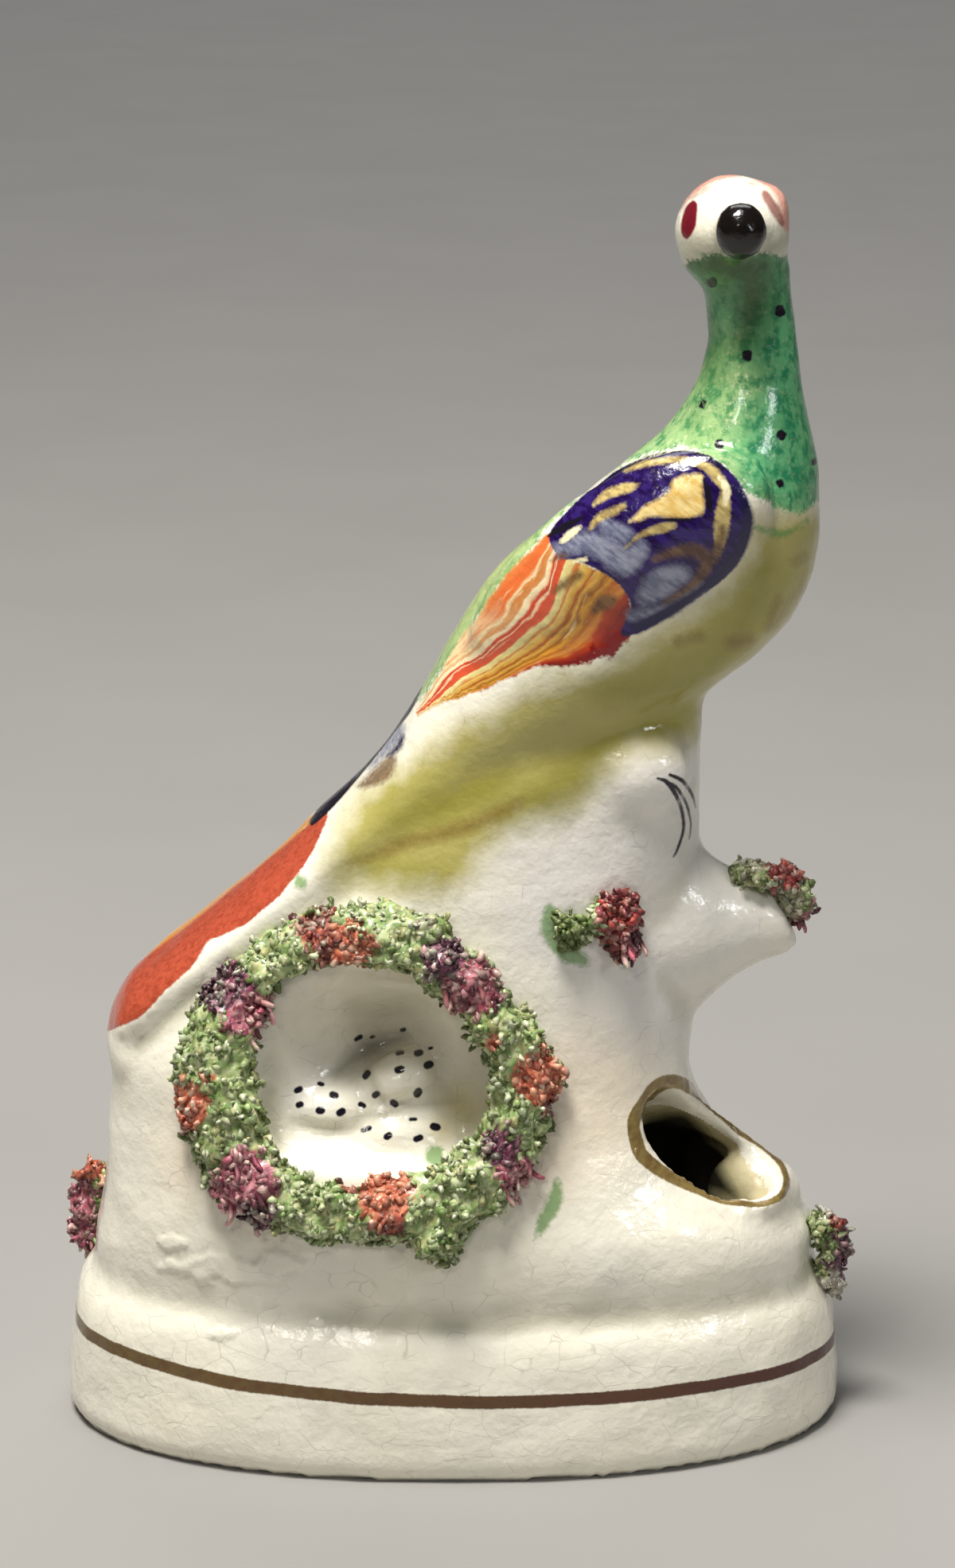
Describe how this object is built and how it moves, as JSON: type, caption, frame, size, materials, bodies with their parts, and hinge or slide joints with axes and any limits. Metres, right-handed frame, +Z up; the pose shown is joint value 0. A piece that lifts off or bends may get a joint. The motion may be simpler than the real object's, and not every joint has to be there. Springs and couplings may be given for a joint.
{
  "type": "pottery bird figure with quill hole",
  "caption": "Glazed pottery figure of a long-tailed bird on a tree stump, with a nest of eggs in a clay wreath and a quill hole, on an oval base.",
  "frame": {"origin": "middle of the underside", "axes": "+X to the right of the front view, -Y out of the front, +Z up"},
  "size_m": [0.0903, 0.0468, 0.1399],
  "materials": {
    "painted_glaze": "gloss",
    "shredded_clay": "satin"
  },
  "bodies": {
    "root": {"figure": "painted_glaze", "nest_wreath": "shredded_clay", "trunk_flowers": "shredded_clay", "branch_flowers": "shredded_clay", "left_flowers": "shredded_clay", "right_flowers": "shredded_clay"}
  },
  "joints": []
}
